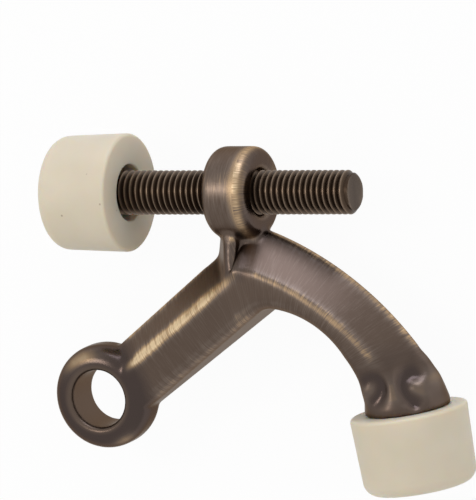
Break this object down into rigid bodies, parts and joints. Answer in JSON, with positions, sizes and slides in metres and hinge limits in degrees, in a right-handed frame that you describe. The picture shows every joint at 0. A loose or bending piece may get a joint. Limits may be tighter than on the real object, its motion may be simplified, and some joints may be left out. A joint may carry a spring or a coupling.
{
  "type": "hinge pin door stop",
  "caption": "Cast door stop with an eye for a hinge pin, a threaded collar whose adjusting screw carries a rubber tip, and a curved arm ending in a round foot with a second rubber tip.",
  "frame": {"origin": "middle of the hinge pin's bore", "axes": "+Z along the bore, +X along the adjusting screw from its rubber tip to its free end, +Y from the bore towards the screw"},
  "size_m": [0.0645, 0.0519, 0.017],
  "materials": {
    "antique_brass_casting": "antique brass plating over a zinc die casting, brushed through to bright along its edges",
    "plated_steel_screw": "antique brass plating over a rolled steel thread",
    "cream_rubber": "matt moulded rubber"
  },
  "bodies": {
    "stop": {"cast_arm": "antique_brass_casting", "foot_bumper": "cream_rubber"},
    "tip": {"screw_bumper": "cream_rubber"},
    "screw": {"adjusting_screw": "plated_steel_screw"}
  },
  "joints": [
    {"name": "screw_feed", "type": "slide", "parent": "stop", "child": "tip", "axis": [1, 0, 0], "range_m": [-0.0136, 0.0127]},
    {"name": "screw_turn", "type": "hinge", "parent": "tip", "child": "screw", "pos_m": [0, 0.0295, 0], "axis": [1, 0, 0], "range_deg": [-5400, 5045]}
  ],
  "couplings": [
    {"joint": "screw_turn", "follows": "screw_feed", "rad_per_m": 6926.4}
  ]
}
